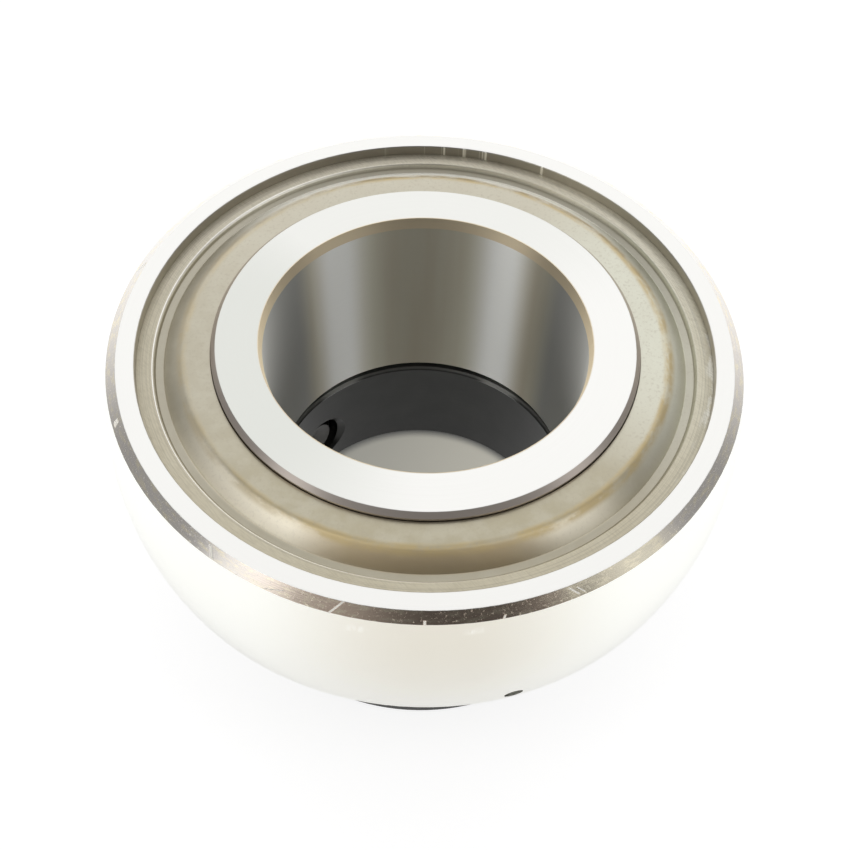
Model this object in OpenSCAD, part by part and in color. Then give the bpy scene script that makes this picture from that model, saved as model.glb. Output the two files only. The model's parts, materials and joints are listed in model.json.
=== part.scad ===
// Insert bearing: a sealed deep-groove ball bearing with a spherical outside,
// held on its shaft by an eccentric locking collar with a set screw.
// Millimetres. The origin is the centre of the spherical outside, on the shaft axis.
// +Z points away from the locking collar.

/* [Shaft, balls and walls] */
// Shaft size, the bore of the inner ring
bore_d = 40; // [20:0.1:90]
// Wall of the inner ring under the balls
inner_wall = 4.022; // [2.5:0.001:10]
// Diameter of a ball
ball_d = 11.906; // [9.5:0.001:20]
// Number of balls
ball_count = 9; // [6:1:10]
// Wall of the outer ring over the balls, to the spherical outside
outer_wall = 4.022; // [3:0.001:10]

/* [Races] */
// Depth of the race groove in the inner ring
inner_groove = 2.128; // [1:0.001:3]
// Depth of the race groove in the outer ring
outer_groove = 1.778; // [1:0.001:2.5]
// Radius of the race grooves over the ball's own radius
race_ease = 0.18; // [0.1:0.01:0.3]
// Clearance between a ball and the floor of each race
ball_play = 0.025; // [0.01:0.005:0.05]

/* [Outer ring] */
// Radial width of the edge bevel beside each face
bevel_w = 1.27; // [0.5:0.01:1.8]
// Axial height of the edge bevel
bevel_h = 0.8; // [0.4:0.05:1.2]
// Step from the outer ring's bore out to the seat of each seal
seat_step = 1; // [0.8:0.1:1.6]
// Diameter of the grease holes
grease_d = 2.3; // [1:0.1:2.6]
// Direction of the first grease hole round the ring, in degrees
grease_angle = -72.5; // [-180:0.5:180]

/* [Inner ring] */
// How far the inner ring stands out of the outer ring on the side away from the collar
inner_proud = 0.5; // [0.2:0.1:4]
// How far the shoulder reaches past the outer ring on the collar side
neck_len = 1.2; // [0.8:0.1:8]
// Radial width of the lead-in at the mouth of the bore
lead_w = 0.35; // [0.3:0.05:1]
// Depth of the lead-in
lead_h = 1.5; // [0.5:0.1:3]
// Bevel at the bore's other end
end_bevel = 1; // [0.4:0.1:1.2]
// Edge break on the outside corners of the inner ring
edge_break = 0.6; // [0.2:0.05:0.8]

/* [Cage] */
// Radial width of the cage ribbon
cage_w = 4.8; // [3:0.1:5.2]
// Thickness of the cage sheet
cage_t = 0.9; // [0.6:0.05:1]
// Clearance between a ball and its pocket
pocket_play = 0.15; // [0.05:0.01:0.2]
// Radius where a pocket runs out into the flat of the ribbon
pocket_foot = 0.8; // [0.3:0.1:1]
// Diameter of a rivet
rivet_d = 1.8; // [1.2:0.1:2.2]
// Diameter of a rivet head
rivet_head_d = 3.2; // [2.6:0.1:3.6]
// Height of a rivet head
rivet_head_h = 0.7; // [0.4:0.1:1]

/* [Seals] */
// Gap between the cage and the seal's backing plate
cage_gap = 1.197; // [0.3:0.001:3]
// Depth of the seal's rim below the outer ring's face
seal_sunk = 1.4; // [1:0.1:1.6]
// Thickness of the seal's steel sheets
sheet_t = 0.4; // [0.3:0.05:0.5]
// Width of the flat rim of the shroud
rim_w = 2.05; // [1.6:0.05:2.4]
// How far the shroud steps down inside its rim
step_h = 0.6; // [0.3:0.05:0.7]
// Width of the flat groove inside the step
groove_w = 0.5; // [0.2:0.05:1]
// Radius of the hollow where the groove runs out into the crown
hollow_r = 1.75; // [1:0.05:2.5]
// Radius of the rounded crown of the shroud
crown_r = 2.2; // [1.2:0.05:2.6]
// Depth of the crown below the outer ring's face
crown_sunk = 0.5; // [0.3:0.05:0.6]
// Gap between the shroud's inner edge and the inner ring
shroud_gap = 0.3; // [0.2:0.05:0.6]
// How far the rubber web lies on the backing plate
web_seat = 1.8; // [1:0.1:2.4]
// Thickness of the rubber web
web_t = 0.8; // [0.5:0.05:0.9]
// Thickness of the rubber lip where it runs on the inner ring
lip_t = 0.3; // [0.2:0.05:0.5]

/* [Locking collar] */
// Wall of the collar at its thinnest, outside the eccentric recess
collar_wall = 2.7; // [2:0.1:10]
// Length of the collar below the end of the inner ring
collar_len = 16.1; // [12:0.1:20]
// Step from the inner ring's shoulder in to its eccentric end
cam_step = 1.55; // [1.2:0.05:2.2]
// Length of the eccentric end
cam_len = 6.5; // [4:0.1:10]
// How far the eccentric end is off the shaft axis
cam_offset = 0.8; // [0.5:0.05:1]
// Bevel round the outside of the collar
collar_bevel = 1.2; // [0.5:0.1:1.6]
// Edge break inside the collar's bore
collar_break = 0.4; // [0.2:0.05:0.6]
// Clearance between the collar's bore and the shaft
collar_play = 0.25; // [0.1:0.05:0.4]

/* [Set screw] */
// Thread size of the set screw
screw_d = 8; // [5:0.5:9]
// Width across the flats of its hex socket
socket_af = 4; // [2.5:0.5:4]
// Depth of the socket
socket_depth = 4; // [2:0.5:4.5]
// Height of the screw above the collar's lower face
screw_rise = 6.3; // [5.4:0.1:7]
// Direction of the screw round the collar, in degrees
screw_angle = 141; // [0:1:360]
// How far the screw's point lies back from the collar's bore
screw_back = 0.8; // [0.3:0.1:1.5]
// How far the screw's outer end lies below the outside
screw_sunk = 0.4; // [0.1:0.1:1]
// Diameter of the blind hole for a drift
drift_d = 6.5; // [4:0.5:8]
// Depth of the blind hole
drift_depth = 4; // [2:0.5:4.5]
// Turn from the screw to the blind hole, in degrees
drift_turn = 120; // [40:5:320]

/* [Hidden] */
// Smoothness of the preview
$fn = 96;
// Material past a cut, so that no two faces coincide
over = 1;

// Clearances that hold the fits
seal_fit = 0.02;
lip_play = 0.05;
rivet_play = 0.02;
cam_play = 0.3;
collar_top_gap = 0.3;
collar_end_gap = 0.7;
screw_play = 0.05;
grease_clear = 0.15;

// Radii from the shaft outwards: inner ring, balls (on a 60 mm circle), outer ring (80 mm)
bore_r = bore_d / 2;
ball_r = ball_d / 2;
inner_floor_r = bore_r + inner_wall;
pitch_r = inner_floor_r + ball_play + ball_r;
outer_floor_r = pitch_r + ball_r + ball_play;
outer_r = outer_floor_r + outer_wall;
shoulder_r = inner_floor_r + inner_groove;
outer_land_r = outer_floor_r - outer_groove;
seat_r = outer_land_r + seat_step;

// Races and cage
race_r = ball_r + race_ease;
inner_race_r = inner_floor_r + race_r;
outer_race_r = outer_floor_r - race_r;
ball_step = 360 / ball_count;
pocket_r = ball_r + pocket_play;
dome_r = pocket_r + cage_t;

// Heights from the middle outwards: cage, seal, face of the outer ring (22 mm wide).
// The lower side mirrors the upper one.
plate_z = dome_r + cage_gap + sheet_t;
groove_z = plate_z + sheet_t;
rim_z = groove_z + step_h;
face_z = rim_z + seal_sunk;
seat_z = rim_z - 2 * sheet_t;
crown_z = face_z - crown_sunk;

// Outside of the outer ring
bevel_z = face_z - bevel_h;
bevel_r = sqrt(outer_r * outer_r - bevel_z * bevel_z);
face_r = bevel_r - bevel_w;
seat_break = 0.1;
// The bevel's cone runs on past the sphere by this many times its own width
bevel_run = 1.5;

// Seals
rim_r = seat_r - seal_fit;
step_r = seat_r - rim_w;
step_run = 0.25;
step_break = 0.25;
groove_r = step_r - step_run - groove_w;
// The hollow and the crown run into each other at this slope
flank_r = hollow_r + crown_r;
flank_turn = acos(1 - (crown_z - groove_z) / flank_r);
hollow_mid_z = groove_z + hollow_r;
crown_mid_r = groove_r - flank_r * sin(flank_turn);
crown_mid_z = crown_z - crown_r;
shroud_in_r = shoulder_r + shroud_gap;
plate_step_ease = 0.5;
plate_step_r = step_r + plate_step_ease;
web_tuck = 0.7;
web_out_r = crown_mid_r + web_tuck;
plate_in_r = web_out_r - web_seat;
lip_r = shoulder_r + lip_play;
lip_run = 1.3;
arc_steps = 8;

// Grease holes point at the middle of the bearing and come out just inside the lower seal's seat
grease_z = seat_z - grease_d / 2 - grease_clear;
grease_tilt = atan(grease_z / outer_land_r);

// Inner ring
top_z = face_z + inner_proud;
neck_z = -face_z - neck_len;
end_z = neck_z - cam_len;
cam_r = shoulder_r - cam_step;

// Locking collar
collar_top_z = neck_z - collar_top_gap;
collar_floor_z = end_z - collar_end_gap;
collar_end_z = collar_floor_z - collar_len;
collar_bore_r = bore_r + collar_play;
recess_r = cam_r + cam_play;
collar_r = recess_r + cam_offset + collar_wall;

// Set screw, along its own axis from the shaft axis outwards
screw_z = collar_end_z + screw_rise;
screw_r = screw_d / 2;
screw_in = collar_bore_r + screw_back;
screw_out = collar_r - screw_sunk;
screw_hole_r = screw_r + screw_play;
screw_mouth = 0.5;
point_break = 1.2;
cup_r = 1.8;
cup_depth = 0.9;

STEEL = [0.86, 0.86, 0.83];
ZINC = [0.72, 0.69, 0.61];
RUBBER = [0.13, 0.12, 0.11];
BLACK_STEEL = [0.2, 0.2, 0.2];
BALL_STEEL = [0.8, 0.82, 0.84];
CAGE_STEEL = [0.66, 0.62, 0.54];
SCREW_STEEL = [0.5, 0.5, 0.5];

BALLS = [for (i = [1 : ball_count]) str("ball_", i)];

// Points on an arc from one angle to another, without the first one where skip is 1
function arc(mid, r, from, to, skip = 0) =
    [for (i = [skip : arc_steps]) let (a = from + (to - from) * i / arc_steps) mid + r * [cos(a), sin(a)]];

// Unit vector to the left of the way from p to q
function side(p, q) = let (d = (q - p) / norm(q - p)) [-d[1], d[0]];

// Path moved sideways by t, with sharp corners
function shifted(path, t) =
    let (last = len(path) - 1)
    [for (i = [0 : last])
        let (
            a = side(path[max(i - 1, 0)], path[max(i, 1)]),
            b = side(path[min(i, last - 1)], path[min(i + 1, last)])
        )
        path[i] + t * (a + b) / (1 + a * b)];

function reversed(path) = [for (i = [len(path) - 1 : -1 : 0]) path[i]];

// Outline of a sheet of thickness t whose upper side follows the path inwards
function sheet(path, t) = concat(path, reversed(shifted(path, t)));

// Groove of one race
module race(r) {
    rotate_extrude()
        translate([r, 0])
            circle(r = race_r);
}

// Everything that is set round the ring at one angle and height, pointing outwards
module radial(angle, z) {
    rotate([0, 0, angle])
        translate([0, 0, z])
            rotate([0, 90, 0])
                children();
}

// Round bar turned from an outline of [radius, height] points
module turned(points) {
    rotate_extrude()
        polygon(points);
}

module outer_ring() {
    half = [
        [outer_land_r, seat_z],
        [seat_r, seat_z],
        [seat_r, face_z - seat_break],
        [seat_r + seat_break, face_z],
        [face_r, face_z],
        [bevel_r + bevel_run * bevel_w, bevel_z - bevel_run * bevel_h]
    ];
    lower_half = [for (p = reversed(half)) [p[0], -p[1]]];
    color(STEEL)
        difference() {
            intersection() {
                turned(concat(half, lower_half));
                sphere(r = outer_r);
            }
            race(outer_race_r);
            for (turn = [0, 180])
                rotate([0, 90 + grease_tilt, grease_angle + turn])
                    translate([0, 0, outer_land_r - over])
                        cylinder(d = grease_d, h = outer_r - outer_land_r + 2 * over);
        }
}

// The shaft's way through the inner ring, wider at both mouths
module inner_bore() {
    lead_slope = lead_w / lead_h;
    turned([
        [0, end_z - over],
        [bore_r + end_bevel + over, end_z - over],
        [bore_r, end_z + end_bevel],
        [bore_r, top_z - lead_h],
        [bore_r + lead_w + over * lead_slope, top_z + over],
        [0, top_z + over]
    ]);
}

module inner_ring() {
    color(STEEL)
        difference() {
            union() {
                turned([
                    [0, neck_z],
                    [shoulder_r - edge_break, neck_z],
                    [shoulder_r, neck_z + edge_break],
                    [shoulder_r, top_z - edge_break],
                    [shoulder_r - edge_break, top_z],
                    [0, top_z]
                ]);
                translate([cam_offset, 0, 0])
                    turned([
                        [0, end_z],
                        [cam_r - edge_break, end_z],
                        [cam_r, end_z + edge_break],
                        [cam_r, neck_z + over],
                        [0, neck_z + over]
                    ]);
            }
            inner_bore();
            race(inner_race_r);
        }
}

module ball(i) {
    color(BALL_STEEL)
        rotate([0, 0, (i - 1) * ball_step])
            translate([pitch_r, 0, 0])
                sphere(d = ball_d);
}

// Outside of one pressed pocket, with the foot that runs out into the flat
module pocket_dome() {
    foot_mid_z = cage_t + pocket_foot;
    foot_mid_r = sqrt(pow(dome_r + pocket_foot, 2) - pow(foot_mid_z, 2));
    foot_top = foot_mid_z * dome_r / (dome_r + pocket_foot);
    sphere(r = dome_r);
    rotate_extrude()
        difference() {
            square([foot_mid_r, foot_top]);
            translate([foot_mid_r, foot_mid_z])
                circle(r = pocket_foot);
        }
}

// One pressed half of the ribbon cage, the side above the balls' middle
module cage_half() {
    color(CAGE_STEEL)
        difference() {
            intersection() {
                union() {
                    cylinder(r = pitch_r + cage_w, h = cage_t);
                    for (i = [1 : ball_count])
                        rotate([0, 0, (i - 1) * ball_step])
                            translate([pitch_r, 0, 0])
                                pocket_dome();
                }
                difference() {
                    cylinder(r = pitch_r + cage_w / 2, h = dome_r + over);
                    translate([0, 0, -over])
                        cylinder(r = pitch_r - cage_w / 2, h = dome_r + 3 * over);
                }
            }
            for (i = [1 : ball_count])
                rotate([0, 0, (i - 1) * ball_step]) {
                    translate([pitch_r, 0, 0])
                        sphere(r = pocket_r);
                    rotate([0, 0, ball_step / 2])
                        translate([pitch_r, 0, -over])
                            cylinder(r = rivet_d / 2 + rivet_play, h = cage_t + 2 * over);
                }
        }
}

module cage_half_upper() {
    cage_half();
}

module cage_half_lower() {
    mirror([0, 0, 1])
        cage_half();
}

// One rivet with a domed head on each half of the cage
module rivet() {
    shank_r = rivet_d / 2;
    head_r = rivet_head_d / 2;
    dome = (head_r * head_r + rivet_head_h * rivet_head_h) / (2 * rivet_head_h);
    translate([0, 0, -cage_t])
        cylinder(r = shank_r, h = 2 * cage_t);
    for (flip = [0, 1])
        mirror([0, 0, flip])
            intersection() {
                translate([0, 0, cage_t + rivet_head_h - dome])
                    sphere(r = dome);
                translate([0, 0, cage_t])
                    cylinder(r = head_r + over, h = rivet_head_h + over);
            }
}

module cage_rivets() {
    color(CAGE_STEEL)
        for (i = [1 : ball_count])
            rotate([0, 0, (i - 0.5) * ball_step])
                translate([pitch_r, 0, 0])
                    rivet();
}

// Pressed steel shroud: flat rim, step, groove, and a crown with a hollow at its foot
module seal_shroud() {
    path = concat(
        [
            [rim_r, rim_z],
            [step_r + step_break, rim_z],
            [step_r, rim_z - step_break],
            [step_r - step_run, groove_z]
        ],
        arc([groove_r, hollow_mid_z], hollow_r, -90, -90 - flank_turn),
        arc([crown_mid_r, crown_mid_z], crown_r, 90 - flank_turn, 90, 1),
        [[shroud_in_r, crown_z]]
    );
    color(ZINC)
        turned(sheet(path, sheet_t));
}

// Rubber web clamped under the shroud, with the lip that runs on the inner ring
module seal_lip() {
    color(RUBBER)
        turned([
            [web_out_r, plate_z],
            [web_out_r, plate_z + web_t],
            [lip_r + lip_run, plate_z + web_t],
            [lip_r + lip_run / 2, plate_z + web_t + lip_t / 2],
            [lip_r, plate_z + web_t + lip_t / 2],
            [lip_r, plate_z + web_t - lip_t / 2],
            [lip_r + lip_run / 2, plate_z + web_t / 2],
            [lip_r + lip_run / 2, plate_z]
        ]);
}

// Flat steel plate that backs the seal on the ball side
module seal_plate() {
    path = [
        [rim_r, rim_z - sheet_t],
        [plate_step_r, rim_z - sheet_t],
        [plate_step_r - step_run, plate_z],
        [plate_in_r, plate_z]
    ];
    color(ZINC)
        turned(sheet(path, sheet_t));
}

module seal_shroud_upper() {
    seal_shroud();
}

module seal_shroud_lower() {
    mirror([0, 0, 1])
        seal_shroud();
}

module seal_lip_upper() {
    seal_lip();
}

module seal_lip_lower() {
    mirror([0, 0, 1])
        seal_lip();
}

module seal_plate_upper() {
    seal_plate();
}

module seal_plate_lower() {
    mirror([0, 0, 1])
        seal_plate();
}

// The eccentric recess that slips over the end of the inner ring
module collar_recess() {
    translate([cam_offset, 0, 0])
        turned([
            [0, collar_floor_z],
            [recess_r, collar_floor_z],
            [recess_r, collar_top_z - collar_break],
            [recess_r + collar_break + over, collar_top_z + over],
            [0, collar_top_z + over]
        ]);
}

module locking_collar() {
    color(BLACK_STEEL)
        difference() {
            turned([
                [0, collar_end_z],
                [collar_r - collar_bevel, collar_end_z],
                [collar_r, collar_end_z + collar_bevel],
                [collar_r, collar_top_z - collar_bevel],
                [collar_r - collar_bevel, collar_top_z],
                [0, collar_top_z]
            ]);
            turned([
                [0, collar_end_z - over],
                [collar_bore_r + collar_break + over, collar_end_z - over],
                [collar_bore_r, collar_end_z + collar_break],
                [collar_bore_r, collar_floor_z - collar_break],
                [collar_bore_r + collar_break + over, collar_floor_z + over],
                [0, collar_floor_z + over]
            ]);
            collar_recess();
            radial(screw_angle, screw_z) {
                translate([0, 0, bore_r - over])
                    cylinder(r = screw_hole_r, h = collar_r - bore_r + 2 * over);
                translate([0, 0, bore_r - over])
                    cylinder(r1 = screw_hole_r + over + screw_mouth, r2 = screw_hole_r, h = over + screw_mouth);
            }
            radial(screw_angle + drift_turn, screw_z)
                translate([0, 0, collar_r - drift_depth])
                    cylinder(d = drift_d, h = drift_depth + over);
        }
}

// Headless screw with a cup point inwards and a hex socket outwards
module set_screw() {
    end_break = screw_play + screw_sunk;
    color(SCREW_STEEL)
        radial(screw_angle, screw_z)
            difference() {
                turned([
                    [0, screw_in + cup_depth],
                    [cup_r, screw_in],
                    [screw_r - point_break, screw_in],
                    [screw_r, screw_in + point_break],
                    [screw_r, screw_out - end_break],
                    [screw_r - end_break, screw_out],
                    [0, screw_out]
                ]);
                translate([0, 0, screw_out - socket_depth])
                    cylinder(d = socket_af / cos(30), h = socket_depth + over, $fn = 6);
            }
}

outer_ring();
inner_ring();
for (i = [1 : ball_count])
    ball(i);
cage_half_upper();
cage_half_lower();
cage_rivets();
seal_shroud_upper();
seal_lip_upper();
seal_plate_upper();
seal_shroud_lower();
seal_lip_lower();
seal_plate_lower();
locking_collar();
set_screw();
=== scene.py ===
# Insert bearing with an eccentric locking collar, on a white floor in soft studio light.
# Metres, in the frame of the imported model: the origin is the middle of the spherical outside,
# and +Z points away from the collar. Azimuths go round the shaft axis in degrees: -90 is the
# camera's side, 0 the right, 90 the back and 180 the left.
import json
import math

import bpy
import bmesh
from mathutils import Matrix, Vector

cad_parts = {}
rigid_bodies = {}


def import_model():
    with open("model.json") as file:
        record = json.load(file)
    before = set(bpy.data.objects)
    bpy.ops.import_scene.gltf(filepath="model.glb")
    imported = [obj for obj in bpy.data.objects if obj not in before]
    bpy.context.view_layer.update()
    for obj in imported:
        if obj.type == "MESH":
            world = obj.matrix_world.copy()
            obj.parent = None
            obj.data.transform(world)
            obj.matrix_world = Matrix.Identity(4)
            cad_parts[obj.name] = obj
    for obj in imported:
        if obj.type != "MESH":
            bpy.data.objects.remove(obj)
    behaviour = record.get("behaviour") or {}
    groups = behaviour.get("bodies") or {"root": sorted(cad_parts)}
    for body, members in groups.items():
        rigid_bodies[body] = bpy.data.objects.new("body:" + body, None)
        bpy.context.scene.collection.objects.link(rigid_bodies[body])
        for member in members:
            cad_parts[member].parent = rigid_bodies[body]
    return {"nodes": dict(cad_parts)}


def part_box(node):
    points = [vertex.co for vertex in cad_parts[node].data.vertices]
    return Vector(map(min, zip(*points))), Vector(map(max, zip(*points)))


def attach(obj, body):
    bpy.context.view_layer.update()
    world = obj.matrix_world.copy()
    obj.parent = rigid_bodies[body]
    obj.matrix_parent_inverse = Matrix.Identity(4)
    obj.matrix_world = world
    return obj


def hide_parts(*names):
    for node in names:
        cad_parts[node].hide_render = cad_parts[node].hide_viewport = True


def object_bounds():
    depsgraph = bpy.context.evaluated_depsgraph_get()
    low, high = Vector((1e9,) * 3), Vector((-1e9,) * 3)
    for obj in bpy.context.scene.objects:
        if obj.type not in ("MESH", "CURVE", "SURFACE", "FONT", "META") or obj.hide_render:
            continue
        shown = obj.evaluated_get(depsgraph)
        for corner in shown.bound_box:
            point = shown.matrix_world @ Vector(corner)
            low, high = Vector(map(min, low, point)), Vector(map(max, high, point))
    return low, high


for leftover in list(bpy.data.objects):
    bpy.data.objects.remove(leftover)

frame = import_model()
cad_low, cad_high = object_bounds()

# Sizes, in metres
MM = 0.001
BORE_R = 20.0 * MM

# Outer ring
FACE_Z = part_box("outer_ring")[1].z
SEAT_R = 35.2 * MM
BEVEL_W = 1.27 * MM
BEVEL_H = 0.8 * MM
BEVEL_Z = FACE_Z - BEVEL_H
OUTER_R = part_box("outer_ring")[1].x
BEVEL_R = math.sqrt(OUTER_R ** 2 - BEVEL_Z ** 2)
FACE_R = BEVEL_R - BEVEL_W
BEVEL_MID_R = (FACE_R + BEVEL_R) / 2

# Inner ring
TOP_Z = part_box("inner_ring")[1].z
SHOULDER_R = 26.15 * MM
EDGE_BREAK = 0.6 * MM
LEAD_W = 0.35 * MM
LEAD_H = 1.5 * MM

# Seal shroud
SHEET = 0.4 * MM
RIM_Z = FACE_Z - 1.4 * MM
RIM_R = SEAT_R - 0.02 * MM
STEP_R = SEAT_R - 2.05 * MM
STEP_BREAK = 0.25 * MM
STEP_RUN = 0.25 * MM
GROOVE_Z = RIM_Z - 0.6 * MM
GROOVE_R = STEP_R - STEP_RUN - 0.9 * MM
CROWN_R = 1.9 * MM
CROWN_MID_R = 29.0 * MM
CROWN_Z = FACE_Z - 0.5 * MM
CROWN_TURN = math.radians(25)
FLANK_R = 10.0 * MM
FOOT_TURN = math.radians(39.5)
SHROUD_IN_R = SHOULDER_R + 0.07 * MM
SHROUD_STEPS = 288

# Locking collar: its bore, and the shoulder where its eccentric recess ends
COLLAR_BORE_R = BORE_R + 0.25 * MM
COLLAR_FLOOR_Z = -19.4 * MM

# Set screw, its direction round the collar and its ends along its own axis
SCREW_AZIMUTH = math.radians(141)
SCREW_R = 4.0 * MM
SCREW_IN = COLLAR_BORE_R + 0.8 * MM
SCREW_OUT = 28.0 * MM
SCREW_PITCH = 1.25 * MM
THREAD_DEPTH = 0.68 * MM
TIP_R = 2.8 * MM
CUP_R = 1.8 * MM
CUP_DEPTH = 0.9 * MM
SOCKET_AF = 4.0 * MM
SOCKET_DEPTH = 4.0 * MM
SOCKET_POINT = 0.8 * MM
SCREW_STEPS = 72
SCREW_ROWS = 150

# Floor, a hair below the collar so that the two share no plane
FLOOR_Z = cad_low.z - 0.02 * MM
FLOOR_HALF = 4.0

# The photograph's view: lens in millimetres, tilt below the level, roll, and place
CAMERA_LENS = 52.05
CAMERA_TILT = math.radians(53.07)
CAMERA_ROLL = math.radians(2.14)
CAMERA_PLACE = Vector((0.26, -98.63, 124.50)) * MM

# Colours of the outer ring
STEEL = (0.88, 0.875, 0.85)
# Painted shade: the outside's dimmer, yellower reflection on the camera's side
STEEL_FRONT_SHADE = (0.72, 0.685, 0.595)
POLISHED = (0.96, 0.965, 0.92)
POLISH_HAZE = (0.88, 0.87, 0.82)
GRIND_MARK = (0.70, 0.69, 0.66)
SMUDGE = (0.97, 0.97, 0.94)
NICK = (1.0, 0.98, 0.92)
# Painted light and shade of the bevel: paler behind, brown in front, darker in one patch
BEVEL_SIDE = (0.76, 0.72, 0.675)
BEVEL_BACK_LIT = (0.88, 0.87, 0.85)
BEVEL_FRONT_SHADE = (0.80, 0.64, 0.51)
BEVEL_SHADE_PATCH = (0.66, 0.62, 0.49)
BEVEL_SCUFF = (0.92, 0.84, 0.64)
BEVEL_SPECK = (0.98, 0.93, 0.78)
SEAT_SIDE = (0.46, 0.435, 0.37)
# Painted shade behind, and painted glints, on the wall round the seal
SEAT_BACK_SHADE = (0.34, 0.315, 0.27)
SEAT_GLINT = (0.95, 0.93, 0.86)

# Colours of the inner ring
SHADED_STEEL = (0.71, 0.72, 0.68)
FINE_MARK = (0.66, 0.65, 0.62)
LEAD_IN = (0.86, 0.74, 0.53)
SHOULDER_SIDE = (0.52, 0.46, 0.41)
BORE_DARK = (0.72, 0.665, 0.53)
BORE_LIGHT = (0.78, 0.755, 0.625)
# Painted shade at the bore's sides, and painted highlights of the soft boxes behind
BORE_SIDE_SHADE = (0.56, 0.56, 0.53)
BORE_PAINTED_HIGHLIGHT = (1.0, 1.0, 0.96)

# Colours of the zinc-plated sheet
# Painted light and shade of the plating: darker left and front, paler right, and a painted sheen
ZINC_LEFT_SHADE = (0.47, 0.435, 0.345)
ZINC_RIGHT_LIT = (0.55, 0.515, 0.42)
ZINC_FRONT_SHADE = (0.43, 0.39, 0.285)
ZINC_PAINTED_SHEEN = (0.66, 0.655, 0.555)
ZINC_CLOUD = (0.60, 0.575, 0.48)
ZINC_FLECK = (0.40, 0.36, 0.285)
# Painted light on the crown's flank behind and at two highlights; brown in front partly stain,
# partly painted shade
FLANK_BACK_LIT = (1.0, 0.985, 0.91)
FLANK_PAINTED_HIGHLIGHT = (0.93, 0.865, 0.71)
FLANK_STAIN_AND_SHADE = (0.455, 0.36, 0.22)
CROWN_STAIN = (0.50, 0.395, 0.21)
# Painted shade in the groove, darker behind
GROOVE_SHADE = (0.36, 0.335, 0.27)
GROOVE_BACK_SHADE = (0.26, 0.245, 0.20)
RIM_FRONT = (0.66, 0.61, 0.48)
# Painted light: the rim paler behind; the smears on the right partly painted reflection; a painted
# highlight on the step's edge
RIM_BACK_LIT = (0.80, 0.75, 0.63)
RIM_SMEAR_AND_REFLECTION = (0.98, 0.97, 0.92)
RIM_HATCH = (0.40, 0.365, 0.28)
RIM_LINE = (0.30, 0.275, 0.22)
STEP_GLINT = (1.0, 0.98, 0.93)

# Other colours, in pairs where a cloudy noise runs between them
OXIDE = (0.030, 0.030, 0.028), (0.050, 0.050, 0.046)
# Painted light on the collar's inner shoulder, and two painted highlights there
OXIDE_SHOULDER_LIGHT = (0.20, 0.20, 0.19)
OXIDE_PAINTED_HIGHLIGHT = (0.42, 0.42, 0.40)
SCREW_STEEL = (0.06, 0.06, 0.055), (0.11, 0.105, 0.10)
BALL_STEEL = (0.78, 0.79, 0.80), (0.84, 0.85, 0.86)
CAGE_STEEL = (0.40, 0.37, 0.31), (0.54, 0.50, 0.43)
RUBBER = (0.022, 0.020, 0.018), (0.040, 0.036, 0.032)

# Nicks on the outer ring's bevel: azimuth, millimetres out of the bevel's middle, lean in
# degrees per millimetre, half width in degrees and half length in millimetres
NICKS = [
    (-158.0, 0.1, 1.0, 0.3, 0.2),
    (-125.5, 0.1, 1.5, 0.2, 0.4),
    (-113.0, 0.3, -6.0, 0.12, 0.2),
    (-102.5, 0.0, -1.5, 0.13, 0.6),
    (-88.5, 0.45, 0.0, 0.14, 0.12),
    (-76.0, 0.5, -1.0, 0.12, 0.1),
    (-64.0, 0.0, 1.6, 0.14, 0.35),
    (-62.8, 0.1, 1.6, 0.1, 0.25),
    (164.0, 0.0, 2.0, 0.3, 0.3),
]

# Pale smudges on the spherical outside: azimuth, and height in millimetres
SMUDGES = [(-99.0, 8.6), (-80.5, 8.9)]

# The floor: what it gives back to the object, what its shadow weighs in the picture,
# and how white the camera and polished metal see it
FLOOR_ALBEDO = (0.82, 0.82, 0.82)
SHADOW_WEIGHT = (0.30, 0.30, 0.30)
FLOOR_SEEN = (0.84, 0.84, 0.84)
FLOOR_MIRRORED = (0.48, 0.48, 0.48)

# Painted shade on the floor seen through the bore, at its left and its right, and a painted shadow
# at its far edge
BORE_FLOOR_SHADE_LEFT = (0.26, 0.255, 0.225)
BORE_FLOOR_SHADE_RIGHT = (0.40, 0.385, 0.33)
BORE_FLOOR_EDGE_SHADOW = (0.08, 0.08, 0.075)

# The studio round the object. Turns are degrees from the camera's side, positive to the right,
# and rises are degrees above the level. A soft box is (turn, half, soft, rise, half, soft,
# brightness).
CAMERA_SIDE = 0.36
BACK_WALL = 1.12
ZENITH = 0.82
SOFT_BOXES = [
    (18, 16, 34, 54, 7, 16, 0.07),
    (-59, 4, 12, 22, 28, 12, 1.22),
    (73, 3, 13, 22, 22, 16, 1.0),
    (-60, 6, 14, 62, 6, 11, 3.2),
    (66, 6, 14, 62, 6, 11, 2.9),
]


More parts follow.
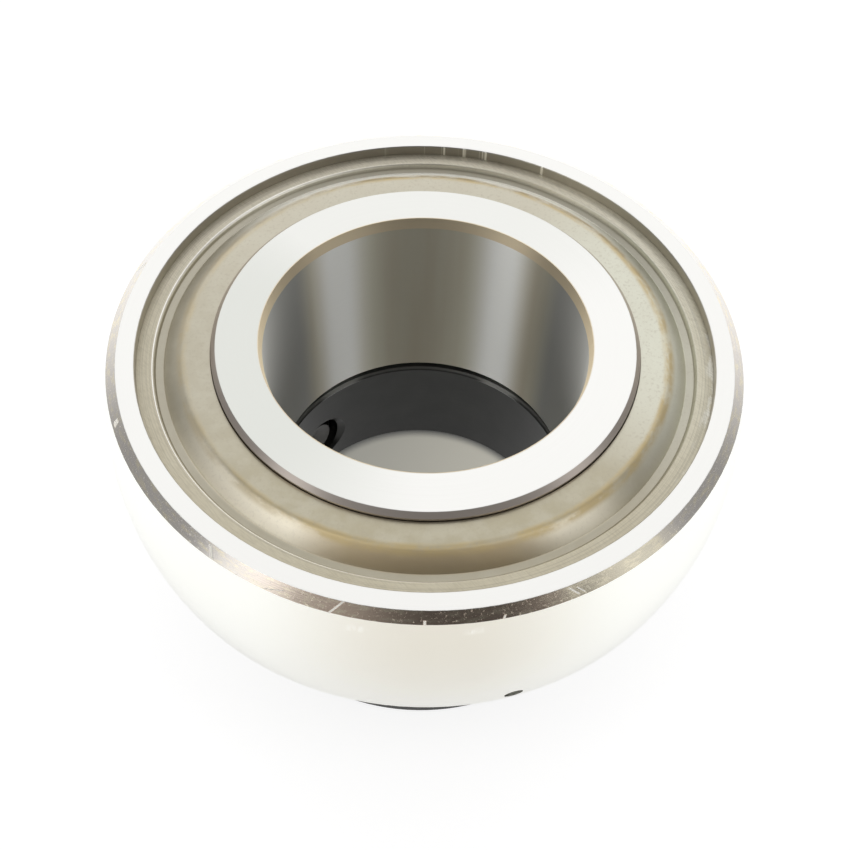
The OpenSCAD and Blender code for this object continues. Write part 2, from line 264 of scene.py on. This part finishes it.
class Nodes:
    """Short calls for the nodes that the finishes and the studio share"""

    def __init__(self, tree):
        self.tree = tree

    def new(self, kind, **settings):
        node = self.tree.nodes.new(kind)
        for key, value in settings.items():
            setattr(node, key, value)
        return node

    def put(self, socket, value):
        """Links a socket's value, or sets a plain number or colour"""
        if isinstance(value, bpy.types.NodeSocket):
            self.tree.links.new(value, socket)
        elif isinstance(value, tuple) and len(value) == 3 and socket.type == "RGBA":
            socket.default_value = (*value, 1)
        else:
            socket.default_value = value

    def scale(self, vector, factor):
        node = self.new("ShaderNodeVectorMath", operation="SCALE")
        self.put(node.inputs[0], vector)
        self.put(node.inputs["Scale"], factor)
        return node.outputs[0]

    def split(self, vector):
        node = self.new("ShaderNodeSeparateXYZ")
        self.put(node.inputs[0], vector)
        return node.outputs[:3]

    def join(self, x, y, z):
        node = self.new("ShaderNodeCombineXYZ")
        for socket, value in zip(node.inputs, (x, y, z)):
            self.put(socket, value)
        return node.outputs[0]

    def math(self, operation, a, b=0.0):
        node = self.new("ShaderNodeMath", operation=operation)
        self.put(node.inputs[0], a)
        self.put(node.inputs[1], b)
        return node.outputs[0]

    def times(self, *values):
        result = values[0]
        for value in values[1:]:
            result = self.math("MULTIPLY", result, value)
        return result

    def plus(self, a, b):
        return self.math("ADD", a, b)

    def either(self, a, b):
        """The larger of two masks"""
        return self.math("MAXIMUM", a, b)

    def inverse(self, value):
        return self.math("SUBTRACT", 1.0, value)

    def step(self, value, low, high):
        """0 below low, 1 above high, smooth between; falls where low is above high"""
        node = self.new("ShaderNodeMapRange", interpolation_type="SMOOTHSTEP")
        self.put(node.inputs["Value"], value)
        node.inputs["From Min"].default_value = min(low, high)
        node.inputs["From Max"].default_value = max(low, high)
        if low > high:
            node.inputs["To Min"].default_value = 1
            node.inputs["To Max"].default_value = 0
        return node.outputs["Result"]

    def away(self, value, middle):
        """How far a value is from the middle, on either side"""
        return self.math("ABSOLUTE", self.math("SUBTRACT", value, middle))

    def band(self, value, middle, half, soft):
        """1 within half of the middle, fading to 0 over soft"""
        return self.step(self.away(value, middle), half + soft, half)

    def mix(self, factor, a, b):
        """A colour between a and b"""
        node = self.new("ShaderNodeMix", data_type="RGBA")
        self.put(node.inputs[0], factor)
        self.put(node.inputs[6], a)
        self.put(node.inputs[7], b)
        return node.outputs[2]

    def blend(self, factor, a, b):
        """A number between a and b"""
        node = self.new("ShaderNodeMix", data_type="FLOAT")
        self.put(node.inputs[0], factor)
        self.put(node.inputs[2], a)
        self.put(node.inputs[3], b)
        return node.outputs[0]

    def reach(self, x, y):
        """Distance from the shaft axis"""
        return self.math("SQRT", self.plus(self.times(x, x), self.times(y, y)))


class Paint(Nodes):
    """One material's node tree"""

    def __init__(self, name):
        self.material = bpy.data.materials.new(name)
        self.material.use_nodes = True
        super().__init__(self.material.node_tree)
        self.shader = self.tree.nodes["Principled BSDF"]
        self.point = self.new("ShaderNodeTexCoord").outputs["Object"]
        self.x, self.y, self.z = self.split(self.point)
        self.radius = self.reach(self.x, self.y)
        self.azimuth = self.times(self.math("ARCTAN2", self.y, self.x), 180 / math.pi)

    def facing(self, degrees, low, high):
        """1 on the side of the axis that lies in a direction, 0 away from it"""
        turn = math.radians(degrees)
        along = self.plus(self.times(self.x, math.cos(turn)), self.times(self.y, math.sin(turn)))
        return self.step(self.math("DIVIDE", along, self.radius), low, high)

    def noise(self, vector, scale, detail=3.0, roughness=0.55):
        """Clouds of scale per millimetre"""
        node = self.new("ShaderNodeTexNoise")
        self.put(node.inputs["Vector"], self.scale(vector, 1 / MM))
        node.inputs["Scale"].default_value = scale
        node.inputs["Detail"].default_value = detail
        node.inputs["Roughness"].default_value = roughness
        return node.outputs["Fac"]

    def turned(self, fine, along, detail=4.0):
        """Marks that run round the axis: fine per millimetre across, along per degree"""
        rings = self.join(self.times(self.radius, fine), self.times(self.z, fine),
                          self.times(self.azimuth, along * MM))
        return self.noise(rings, 1.0, detail)

    def patches(self, across, along):
        """Patches of across per millimetre of radius and along per degree round the axis"""
        place = self.join(self.times(self.radius, across), self.times(self.azimuth, along * MM), 0.0)
        return self.noise(place, 1.0, 4.0, 0.65)

    def stroke(self, azimuth, radius, slant, half_width, half_length):
        """A short scratch on a flat ring, along a radius where slant is 0 degrees per millimetre"""
        lean = self.times(self.math("SUBTRACT", self.radius, radius), slant / MM)
        across = self.math("SUBTRACT", self.azimuth, lean)
        return self.times(self.band(across, azimuth, half_width, half_width),
                          self.band(self.radius, radius, half_length, 0.1 * MM))

    def bump(self, height, strength, distance, normal=None):
        """Surface relief, with the distance in millimetres"""
        node = self.new("ShaderNodeBump")
        node.inputs["Strength"].default_value = strength
        node.inputs["Distance"].default_value = distance * MM
        self.put(node.inputs["Height"], height)
        if normal is not None:
            self.put(node.inputs["Normal"], normal)
        return node.outputs["Normal"]

    def round_tangent(self):
        """Direction round the shaft axis, for finishes ground or turned about it"""
        node = self.new("ShaderNodeVectorMath", operation="NORMALIZE")
        self.put(node.inputs[0], self.join(self.times(self.y, -1.0), self.x, 0.0))
        world = self.new("ShaderNodeVectorTransform", vector_type="VECTOR",
                         convert_from="OBJECT", convert_to="WORLD")
        self.put(world.inputs[0], node.outputs[0])
        return world.outputs[0]

    def surface(self, colour, roughness, metallic=1.0, normal=None, **constants):
        """Sets the shader's own sockets and gives the material back"""
        self.put(self.shader.inputs["Base Color"], colour)
        self.put(self.shader.inputs["Roughness"], roughness)
        self.shader.inputs["Metallic"].default_value = metallic
        if normal is not None:
            self.put(self.shader.inputs["Normal"], normal)
        for key, value in constants.items():
            self.shader.inputs[key.replace("_", " ")].default_value = value
        return self.material


def bevel_colour(p, scuffs, specks):
    """Painted light and shade: brown and darker in front, paler behind, and a darker patch near -56
    degrees; yellowish scuffs and specks
    """
    # Painted light behind, painted shade in front and near -56 degrees
    colour = p.mix(p.facing(90.0, 0.0, 0.6), BEVEL_SIDE, BEVEL_BACK_LIT)
    colour = p.mix(p.facing(-82.0, 0.75, 0.97), colour, BEVEL_FRONT_SHADE)
    colour = p.mix(p.times(p.band(p.azimuth, -56.0, 6.0, 10.0), 0.85), colour, BEVEL_SHADE_PATCH)
    colour = p.mix(p.times(p.step(scuffs, 0.46, 0.66), 0.7), colour, BEVEL_SCUFF)
    return p.mix(p.times(specks, 0.22), colour, BEVEL_SPECK)


def seat_colour(p):
    """The wall round the seal, with painted shade darker behind and painted glints at the very back
    """
    # Painted glints at the very back, and painted shade darker behind
    glints = p.times(p.step(p.patches(1.5, 0.45), 0.58, 0.66), p.facing(78.0, 0.9, 0.98))
    return p.mix(glints, p.mix(p.facing(110.0, 0.5, 1.0), SEAT_SIDE, SEAT_BACK_SHADE), SEAT_GLINT)


def outer_ring_paint():
    """Ground face, smoother bevel with scuffs, nicks and painted light and shade, and a polished
    outside with painted shade, darker and yellower in front
    """
    p = Paint("outer_ring_ground_steel")
    height = p.math("ABSOLUTE", p.z)
    on_face = p.step(height, FACE_Z - 0.05 * MM, FACE_Z - 0.01 * MM)
    on_bevel = p.times(p.step(height, BEVEL_Z - 0.03 * MM, BEVEL_Z + 0.03 * MM),
                       p.step(p.radius, FACE_R - 0.05 * MM, FACE_R + 0.05 * MM),
                       p.inverse(on_face))
    in_seat = p.times(p.step(p.radius, SEAT_R + 0.2 * MM, SEAT_R + 0.1 * MM), p.inverse(on_face))
    grain = p.turned(9.0, 0.02)
    cloud = p.noise(p.point, 0.09, 2.0)
    scuffs = p.patches(2.2, 0.35)
    specks = p.step(p.patches(4.0, 1.6), 0.56, 0.70)
    nicks = 0.0
    for azimuth, out, lean, half_width, half_length in NICKS:
        nick = p.stroke(azimuth, BEVEL_MID_R + out * MM, lean, half_width, half_length * MM)
        nicks = p.either(nicks, nick)
    nicks = p.times(nicks, on_bevel)

    # Painted shade on the camera's side of the outside, for a dimmer reflection there
    front_shade = p.times(p.band(p.azimuth, -86.0, 2.0, 34.0), p.step(p.z, -16.0 * MM, 8.0 * MM))
    colour = p.mix(front_shade, POLISHED, STEEL_FRONT_SHADE)
    colour = p.mix(p.times(cloud, 0.2), colour, POLISH_HAZE)
    colour = p.mix(on_face, colour, STEEL)
    colour = p.mix(on_bevel, colour, bevel_colour(p, scuffs, specks))
    colour = p.mix(in_seat, colour, seat_colour(p))
    colour = p.mix(p.times(p.step(grain, 0.35, 0.75), 0.06), colour, GRIND_MARK)
    for azimuth, up in SMUDGES:
        smudge = p.times(p.band(p.azimuth, azimuth, 0.5, 2.0),
                         p.band(p.z, up * MM, 0.1 * MM, 0.6 * MM),
                         p.step(p.patches(3.0, 1.5), 0.36, 0.70), 0.5)
        colour = p.mix(smudge, colour, SMUDGE)
    colour = p.mix(nicks, colour, NICK)

    rough = p.blend(on_face, p.blend(cloud, 0.20, 0.28), 0.34)
    rough = p.blend(on_bevel, rough, p.blend(specks, p.blend(scuffs, 0.10, 0.26), 0.42))
    rough = p.blend(in_seat, rough, 0.34)
    rough = p.blend(nicks, rough, 0.75)
    relief = p.bump(grain, 0.12, 0.02)
    return p.surface(colour, rough, normal=p.bump(nicks, 0.8, -0.12, relief))


def bore_colour(p):
    """Cloudy lanes along the bore, painted shade greyer at its sides, and two painted highlight
    stripes behind
    """
    place = p.join(p.times(p.azimuth, 0.05 * MM), p.times(p.z, 0.01), 0.0)
    lanes = p.noise(place, 1.0, 3.0, 0.5)
    colour = p.mix(p.step(lanes, 0.36, 0.64), BORE_DARK, BORE_LIGHT)
    # Painted shade greyer at the bore's sides
    colour = p.mix(p.step(p.away(p.azimuth, 90.0), 48.0, 60.0), colour, BORE_SIDE_SHADE)
    # Painted highlights: two bright stripes where the soft boxes reflect in the bore
    stripes = p.either(p.band(p.azimuth, 60.0, 3.0, 13.0), p.band(p.azimuth, 127.0, 3.0, 13.0))
    return p.mix(stripes, colour, BORE_PAINTED_HIGHLIGHT)


def inner_ring_paint():
    """White ground face, brown-grey edges, and a bore ground round its axis"""
    p = Paint("inner_ring_ground_steel")
    in_bore = p.step(p.radius, BORE_R + LEAD_W + 0.2 * MM, BORE_R + LEAD_W)
    in_lead = p.times(in_bore,
                      p.step(p.z, TOP_Z - LEAD_H - 0.02 * MM, TOP_Z - LEAD_H + 0.02 * MM))
    break_r = SHOULDER_R - EDGE_BREAK
    on_side = p.times(p.step(p.radius, break_r, break_r + 0.06 * MM),
                      p.step(p.z, TOP_Z - 0.01 * MM, TOP_Z - 0.04 * MM))
    grain = p.turned(10.0, 0.015)
    shade = p.either(p.facing(-165.0, 0.2, 0.9), p.times(p.facing(100.0, 0.0, 0.8), 0.45))
    colour = p.mix(shade, STEEL, SHADED_STEEL)
    colour = p.mix(in_bore, colour, bore_colour(p))
    colour = p.mix(in_lead, colour, LEAD_IN)
    colour = p.mix(on_side, colour, SHOULDER_SIDE)
    colour = p.mix(p.times(p.step(grain, 0.35, 0.75), 0.08), colour, FINE_MARK)
    rough = p.blend(in_bore, 0.30, 0.56)
    rough = p.blend(on_side, rough, 0.30)
    material = p.surface(colour, rough, normal=p.bump(grain, 0.10, 0.02),
                         Anisotropic_Rotation=0.25)
    p.put(p.shader.inputs["Anisotropic"], in_bore)
    p.put(p.shader.inputs["Tangent"], p.round_tangent())
    return material


def sheet_colour(p, cloud):
    """Yellowish grey plating with painted light and shade: darker and browner in front, paler on the
    right, and a painted sheen there
    """
    # Painted shade on the left and in front, painted light and sheen on the right
    colour = p.mix(p.facing(60.0, -0.6, 0.2), ZINC_LEFT_SHADE, ZINC_RIGHT_LIT)
    colour = p.mix(p.facing(-88.0, 0.25, 0.95), colour, ZINC_FRONT_SHADE)
    colour = p.mix(p.facing(12.0, 0.6, 1.0), colour, ZINC_PAINTED_SHEEN)
    return p.mix(p.times(p.step(cloud, 0.35, 0.7), 0.35), colour, ZINC_CLOUD)


def crown_colour(p, colour, on_flank, fleck):
    """Painted light on the crown's flank, paler behind and painted highlights near -128 and -56
    degrees, brown in front as stain and painted shade; brown stains along its edge, and flecks
    """
    # Painted light: the flank paler behind
    colour = p.mix(p.times(on_flank, p.facing(90.0, 0.45, 0.9)), colour, FLANK_BACK_LIT)
    # Painted highlights of the soft boxes on the flank
    flank_highlights = p.either(p.band(p.azimuth, -128.0, 9.0, 24.0),
                         p.times(p.band(p.azimuth, -56.0, 3.0, 14.0), 0.7))
    colour = p.mix(p.times(on_flank, flank_highlights), colour, FLANK_PAINTED_HIGHLIGHT)
    # Brown front flank: partly a stain, partly painted shade of the camera's side
    colour = p.mix(p.times(on_flank, p.facing(-88.0, 0.86, 0.98), 0.9), colour, FLANK_STAIN_AND_SHADE)
    edge = p.band(p.radius, CROWN_MID_R + 0.7 * MM, 0.25 * MM, 0.7 * MM)
    patchy = p.step(p.patches(0.5, 0.09), 0.36, 0.60)
    stained = p.times(edge, p.blend(patchy, 0.2, 0.9),
                      p.blend(p.facing(180.0, 0.2, 0.9), 1.0, 0.45))
    colour = p.mix(stained, colour, CROWN_STAIN)
    flecked = p.times(p.step(fleck, 0.50, 0.72), p.blend(on_flank, 0.35, 0.12))
    return p.mix(flecked, colour, ZINC_FLECK)


def rim_colour(p, colour, on_rim, lines):
    """Turned and smeared rim outside the step, with painted light paler behind, a painted reflection
    among the smears on the right, and a painted highlight along the edge of the step
    """
    across = p.times(p.math("SUBTRACT", p.x, p.y), 0.12)
    hatch = p.noise(p.join(p.plus(p.x, p.y), across, 0.0), 5.0, 2.0)
    # Smears near the wall on the right, partly a painted reflection
    smears_and_reflection = p.times(p.step(p.patches(0.9, 0.16), 0.50, 0.62), p.band(p.azimuth, -6.0, 14.0, 22.0),
                     p.step(p.radius, STEP_R + 0.6 * MM, SEAT_R))
    # Painted light: the rim paler behind
    rim = p.mix(p.facing(90.0, -0.1, 0.7), RIM_FRONT, RIM_BACK_LIT)
    rim = p.mix(smears_and_reflection, rim, RIM_SMEAR_AND_REFLECTION)
    colour = p.mix(p.times(on_rim, 0.6), colour, rim)
    colour = p.mix(p.times(on_rim, p.step(hatch, 0.4, 0.7), 0.35), colour, RIM_HATCH)
    colour = p.mix(p.times(on_rim, p.step(lines, 0.48, 0.62), 0.3), colour, RIM_LINE)
    # Painted highlight along the edge of the step
    edge = p.times(p.band(p.radius, STEP_R + 0.06 * MM, 0.07 * MM, 0.1 * MM),
                   p.facing(-165.0, -0.3, 0.6))
    return p.mix(edge, colour, STEP_GLINT)


def zinc_paint():
    """Zinc-plated sheet: yellowish grey and cloudy, with brown stains and fine turned lines, and
    painted light and shade on its flank, groove and rim
    """
    p = Paint("zinc_plated_sheet")
    cloud = p.noise(p.point, 0.35, 4.0)
    fleck = p.noise(p.point, 2.6, 3.0, 0.65)
    lines = p.turned(7.0, 0.02, 3.0)
    on_flank = p.times(p.step(p.radius, CROWN_MID_R + 0.4 * MM, CROWN_MID_R + 1.0 * MM),
                       p.step(p.radius, GROOVE_R + 0.3 * MM, GROOVE_R - 0.3 * MM))
    in_groove = p.times(p.step(p.radius, GROOVE_R - 0.1 * MM, GROOVE_R + 0.1 * MM),
                        p.step(p.radius, STEP_R, STEP_R - STEP_RUN))
    on_rim = p.step(p.radius, STEP_R, STEP_R + STEP_BREAK)
    colour = crown_colour(p, sheet_colour(p, cloud), on_flank, fleck)
    # Painted shade in the groove, darker still behind on the right
    colour = p.mix(p.times(in_groove, 0.55), colour, GROOVE_SHADE)
    colour = p.mix(p.times(in_groove, p.facing(75.0, 0.2, 0.8), 0.6), colour, GROOVE_BACK_SHADE)
    colour = rim_colour(p, colour, on_rim, lines)
    flank_rough = p.blend(p.facing(90.0, 0.45, 0.9), 0.44, 0.60)
    rough = p.blend(on_flank, p.blend(on_rim, p.blend(cloud, 0.28, 0.38), 0.50), flank_rough)
    relief = p.bump(p.noise(p.point, 0.22, 2.0), 0.35, 0.2)
    relief = p.bump(p.plus(p.times(lines, 0.7), p.times(fleck, 0.3)), 0.25, 0.03, relief)
    return p.surface(colour, rough, normal=relief)


def black_oxide_paint():
    """Black oxide over turned steel, with painted light paler on the inner shoulder and two painted
    highlights there
    """
    p = Paint("black_oxide_steel")
    grain = p.turned(6.0, 0.03)
    colour = p.mix(p.noise(p.point, 0.25, 3.0), *OXIDE)
    # Painted light: the inner shoulder paler, where shade falls in the gap
    shoulder = p.times(p.band(p.z, COLLAR_FLOOR_Z, 0.1 * MM, 0.3 * MM),
                       p.step(p.radius, COLLAR_BORE_R + 2.15 * MM, COLLAR_BORE_R + 1.15 * MM))
    # Painted highlights: two arcs where the soft boxes reflect on the shoulder
    highlight_arcs = p.times(p.band(p.z, COLLAR_FLOOR_Z - 0.2 * MM, 0.25 * MM, 0.05 * MM),
                   p.step(p.radius, COLLAR_BORE_R + 0.95 * MM, COLLAR_BORE_R + 0.75 * MM),
                   p.either(p.band(p.azimuth, 128.0, 4.0, 8.0), p.band(p.azimuth, 57.0, 4.0, 8.0)))
    colour = p.mix(shoulder, colour, OXIDE_SHOULDER_LIGHT)
    colour = p.mix(highlight_arcs, colour, OXIDE_PAINTED_HIGHLIGHT)
    return p.surface(colour, p.blend(grain, 0.24, 0.40), metallic=0.6,
                     normal=p.bump(grain, 0.15, 0.03), Specular_IOR_Level=0.6)


def screw_paint():
    """Dark heat-treated steel"""
    p = Paint("screw_dark_steel")
    grain = p.noise(p.point, 1.4, 4.0)
    return p.surface(p.mix(grain, *SCREW_STEEL), p.blend(grain, 0.28, 0.45),
                     normal=p.bump(grain, 0.2, 0.02))


def ball_paint():
    """Polished bearing steel with a faint haze"""
    p = Paint("polished_ball_steel")
    haze = p.noise(p.point, 0.5, 3.0)
    return p.surface(p.mix(haze, *BALL_STEEL), p.blend(haze, 0.05, 0.10))


def cage_paint():
    """Pressed steel, cloudy and slightly brown"""
    p = Paint("pressed_cage_steel")
    cloud = p.noise(p.point, 0.5, 4.0)
    press = p.turned(3.0, 0.1, 3.0)
    return p.surface(p.mix(cloud, *CAGE_STEEL), p.blend(press, 0.28, 0.44),
                     normal=p.bump(press, 0.2, 0.03))


def rubber_paint():
    """Black moulded rubber"""
    p = Paint("moulded_nitrile_rubber")
    grain = p.noise(p.point, 4.0, 3.0)
    return p.surface(p.mix(grain, *RUBBER), p.blend(grain, 0.45, 0.62), metallic=0.0,
                     normal=p.bump(grain, 0.3, 0.02))


def floor_paint():
    """White floor with a faint shadow, painted shade greyer seen through the bore with a painted
    shadow at its far edge, and clear from below
    """
    material = bpy.data.materials.new("white_floor")
    material.use_nodes = True
    n = Nodes(material.node_tree)
    n.tree.nodes.clear()
    path = n.new("ShaderNodeLightPath")
    camera, glossy = path.outputs["Is Camera Ray"], path.outputs["Is Glossy Ray"]
    x, y, _ = n.split(n.new("ShaderNodeTexCoord").outputs["Object"])
    radius = n.reach(x, y)
    in_bore = n.step(radius, 26 * MM, 22 * MM)
    # Painted shade: the floor seen through the bore, greyer on the left
    bore_floor_shade = n.mix(n.step(x, -18 * MM, 18 * MM), BORE_FLOOR_SHADE_LEFT, BORE_FLOOR_SHADE_RIGHT)
    # Painted shadow along the bore's far edge
    far_edge_shadow = n.times(n.step(radius, COLLAR_BORE_R - 1.35 * MM, COLLAR_BORE_R + 0.35 * MM),
                       n.step(y, 4 * MM, 14 * MM))
    bore_floor_shade = n.mix(far_edge_shadow, bore_floor_shade, BORE_FLOOR_EDGE_SHADOW)
    seen = n.mix(in_bore, FLOOR_SEEN, bore_floor_shade)
    mirrored = n.mix(glossy, (0.0, 0.0, 0.0), FLOOR_MIRRORED)
    glow = n.new("ShaderNodeEmission")
    n.put(glow.inputs["Color"], n.mix(camera, mirrored, seen))
    diffuse = n.new("ShaderNodeBsdfDiffuse")
    n.put(diffuse.inputs["Color"], n.mix(camera, FLOOR_ALBEDO, SHADOW_WEIGHT))
    both = n.new("ShaderNodeAddShader")
    n.put(both.inputs[0], diffuse.outputs[0])
    n.put(both.inputs[1], glow.outputs[0])
    from_below = n.times(camera, n.new("ShaderNodeNewGeometry").outputs["Backfacing"])
    cleared = n.new("ShaderNodeMixShader")
    n.put(cleared.inputs[0], from_below)
    n.put(cleared.inputs[1], both.outputs[0])
    n.put(cleared.inputs[2], n.new("ShaderNodeBsdfTransparent").outputs[0])
    n.put(n.new("ShaderNodeOutputMaterial").inputs["Surface"], cleared.outputs[0])
    return material


def make_floor():
    mesh = bpy.data.meshes.new("floor")
    corners = [(-FLOOR_HALF, -FLOOR_HALF), (FLOOR_HALF, -FLOOR_HALF),
               (FLOOR_HALF, FLOOR_HALF), (-FLOOR_HALF, FLOOR_HALF)]
    mesh.from_pydata([(x, y, FLOOR_Z) for x, y in corners], [], [(0, 1, 2, 3)])
    floor = bpy.data.objects.new("floor", mesh)
    bpy.context.scene.collection.objects.link(floor)
    mesh.materials.append(floor_paint())


def make_world():
    """Grey on the camera's side, white behind, with soft boxes; plain white to the camera"""
    world = bpy.data.worlds.new("studio")
    bpy.context.scene.world = world
    world.use_nodes = True
    n = Nodes(world.node_tree)
    n.tree.nodes.clear()
    x, y, z = n.split(n.new("ShaderNodeTexCoord").outputs["Generated"])
    turn = n.times(n.math("ARCTAN2", x, n.times(y, -1.0)), 180 / math.pi)
    rise = n.times(n.math("ARCSINE", z), 180 / math.pi)
    level = n.blend(n.step(n.math("ABSOLUTE", turn), 102, 138), CAMERA_SIDE, BACK_WALL)
    level = n.blend(n.step(rise, 60, 78), level, ZENITH)
    for middle, half, soft, up, half_up, soft_up, brightness in SOFT_BOXES:
        mask = n.times(n.band(turn, middle, half, soft), n.band(rise, up, half_up, soft_up))
        level = n.blend(mask, level, brightness)
    level = n.blend(n.new("ShaderNodeLightPath").outputs["Is Camera Ray"], level, 1.0)
    background = n.new("ShaderNodeBackground")
    n.put(background.inputs["Color"], n.join(level, level, level))
    n.put(n.new("ShaderNodeOutputWorld").inputs["Surface"], background.outputs[0])


def make_camera():
    """Looks along the tilt from the photograph's place, then rolls about the line of sight"""
    down = Vector((0, -math.sin(CAMERA_TILT), -math.cos(CAMERA_TILT)))
    ahead = Vector((0, math.cos(CAMERA_TILT), -math.sin(CAMERA_TILT)))
    right = Vector((math.cos(CAMERA_ROLL), 0, 0)) - math.sin(CAMERA_ROLL) * down
    down = Vector((math.sin(CAMERA_ROLL), 0, 0)) + math.cos(CAMERA_ROLL) * down
    data = bpy.data.cameras.new("camera")
    data.lens = CAMERA_LENS
    data.sensor_width = 36
    data.clip_start = 0.01
    data.clip_end = 20
    camera = bpy.data.objects.new("camera", data)
    bpy.context.scene.collection.objects.link(camera)
    turn = Matrix((right, -down, -ahead)).transposed().to_4x4()
    camera.matrix_world = Matrix.Translation(CAMERA_PLACE) @ turn
    bpy.context.scene.camera = camera


def repaint(names, material):
    for name in names:
        slots = frame["nodes"][name].data.materials
        slots.clear()
        slots.append(material)


def piece(name, mesh, material, body, node):
    """A finished mesh in place of one of the model's pieces, riding its body"""
    bmesh.ops.recalc_face_normals(mesh, faces=mesh.faces)
    data = bpy.data.meshes.new(name)
    mesh.to_mesh(data)
    mesh.free()
    for face in data.polygons:
        face.use_smooth = True
    data.set_sharp_from_angle(angle=math.radians(35))
    made = bpy.data.objects.new(name, data)
    bpy.context.scene.collection.objects.link(made)
    data.materials.append(material)
    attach(made, body)
    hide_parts(node)


def arc(mid_r, mid_z, r, start, end, steps):
    """Points on an arc, angles in radians from the way out"""
    turns = [start + (end - start) * i / steps for i in range(steps + 1)]
    return [(mid_r + r * math.cos(turn), mid_z + r * math.sin(turn)) for turn in turns]


def shroud_outline():
    """Section of the pressed shroud: its upper side from the rim inwards, then its underside"""
    up = math.pi / 2
    step_end = math.pi * 0.9
    crown = (CROWN_MID_R, CROWN_Z - CROWN_R)
    flank = (CROWN_MID_R + (CROWN_R - FLANK_R) * math.sin(CROWN_TURN),
             CROWN_Z - CROWN_R + (CROWN_R - FLANK_R) * math.cos(CROWN_TURN))
    flank_points = arc(*flank, FLANK_R, up - FOOT_TURN, up - CROWN_TURN, 12)
    foot_r = flank_points[0][0]
    edge_r = SHEET / 8

    upper = [(RIM_R, RIM_Z)]
    upper += arc(STEP_R + STEP_BREAK, RIM_Z - STEP_BREAK, STEP_BREAK, up, step_end, 6)
    upper += [(STEP_R - STEP_RUN, GROOVE_Z), (foot_r + 0.15 * MM, GROOVE_Z),
              (foot_r + 0.05 * MM, GROOVE_Z + 0.01 * MM)]
    upper += flank_points
    upper += arc(*crown, CROWN_R, up - CROWN_TURN, up, 14)[1:]
    upper += arc(SHROUD_IN_R + edge_r, CROWN_Z - edge_r, edge_r, up, math.pi, 3)

    lower = [(SHROUD_IN_R, CROWN_Z - SHEET)]
    lower += arc(*crown, CROWN_R - SHEET, up, up - CROWN_TURN, 12)
    lower += arc(*flank, FLANK_R - SHEET, up - CROWN_TURN, up - FOOT_TURN, 12)[1:]
    lower += [(STEP_R - STEP_RUN + 0.2 * MM, GROOVE_Z - SHEET),
              (STEP_R + 0.3 * MM, RIM_Z - 0.5 * MM),
              (STEP_R + 0.41 * MM, RIM_Z - SHEET), (RIM_R, RIM_Z - SHEET)]
    return upper + lower


def turned_shroud(name, node, flip, material):
    """The section turned about the shaft axis; flip is -1 for the collar's side"""
    mesh = bmesh.new()
    rings = []
    for i in range(SHROUD_STEPS):
        turn = 2 * math.pi * i / SHROUD_STEPS
        rings.append([mesh.verts.new((r * math.cos(turn), r * math.sin(turn), flip * z))
                      for r, z in shroud_outline()])
    for a, b in zip(rings, rings[1:] + rings[:1]):
        for j in range(len(a)):
            k = (j + 1) % len(a)
            mesh.faces.new((a[j], a[k], b[k], b[j]))
    piece(name, mesh, material, "outer", node)


def threaded_screw():
    """Headless screw with a rolled thread, a cup point inwards and a hex socket outwards"""
    low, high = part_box("set_screw")
    middle_z = (low.z + high.z) / 2
    length = SCREW_OUT - SCREW_IN
    crest_flat, flanks = 0.12, 0.76
    run_in, run_out = 1.3 * MM, 0.7 * MM
    mesh = bmesh.new()

    def crest(along, turn):
        """Radius of the thread at a height and angle"""
        phase = (along / SCREW_PITCH - turn / (2 * math.pi)) % 1
        wave = min(1, max(0, (abs(phase - 0.5) * 2 - crest_flat) / flanks))
        fade = min(1, along / run_in, (length - along) / run_out)
        full = SCREW_R - THREAD_DEPTH + THREAD_DEPTH * wave
        return TIP_R + (full - TIP_R) * max(0.0, fade)

    def on_hex(turn):
        """Distance from the axis to the socket's wall"""
        sector = (turn + math.pi / 6) % (math.pi / 3) - math.pi / 6
        return SOCKET_AF / 2 / math.cos(sector)

    def ring(reach, along):
        turns = [2 * math.pi * j / SCREW_STEPS for j in range(SCREW_STEPS)]
        return [mesh.verts.new((reach(turn) * math.cos(turn), reach(turn) * math.sin(turn), along))
                for turn in turns]

    rings = [ring(lambda turn: CUP_R, 0)]
    for i in range(SCREW_ROWS + 1):
        along = length * i / SCREW_ROWS
        rings.append(ring(lambda turn: crest(along, turn), along))
    rings += [ring(on_hex, length), ring(on_hex, length - SOCKET_DEPTH)]
    for lower, upper in zip(rings, rings[1:]):
        for j in range(SCREW_STEPS):
            k = (j + 1) % SCREW_STEPS
            mesh.faces.new((lower[j], lower[k], upper[k], upper[j]))
    points = ((rings[0], CUP_DEPTH), (rings[-1], length - SOCKET_DEPTH - SOCKET_POINT))
    for edge, along in points:
        tip = mesh.verts.new((0, 0, along))
        for j in range(SCREW_STEPS):
            mesh.faces.new((edge[j], edge[(j + 1) % SCREW_STEPS], tip))
    mesh.transform(Matrix.Rotation(SCREW_AZIMUTH, 4, "Z")
                   @ Matrix.Translation((SCREW_IN, 0, middle_z))
                   @ Matrix.Rotation(math.pi / 2, 4, "Y"))
    piece("set_screw_threaded", mesh, screw_paint(), "screw", "set_screw")


def dress():
    """Gives every piece its finish, and turned or threaded meshes where the solids are plainer"""
    repaint(["outer_ring"], outer_ring_paint())
    repaint(["inner_ring"], inner_ring_paint())
    repaint(["locking_collar"], black_oxide_paint())
    repaint([f"ball_{i}" for i in range(1, 10)], ball_paint())
    repaint(["cage_half_upper", "cage_half_lower", "cage_rivets"], cage_paint())
    zinc = zinc_paint()
    repaint(["seal_plate_upper", "seal_plate_lower"], zinc)
    turned_shroud("seal_shroud_upper_turned", "seal_shroud_upper", 1, zinc)
    turned_shroud("seal_shroud_lower_turned", "seal_shroud_lower", -1, zinc)
    repaint(["seal_lip_upper", "seal_lip_lower"], rubber_paint())
    threaded_screw()


scene = bpy.context.scene
scene.view_settings.view_transform = "Standard"
make_camera()
make_world()
make_floor()
dress()
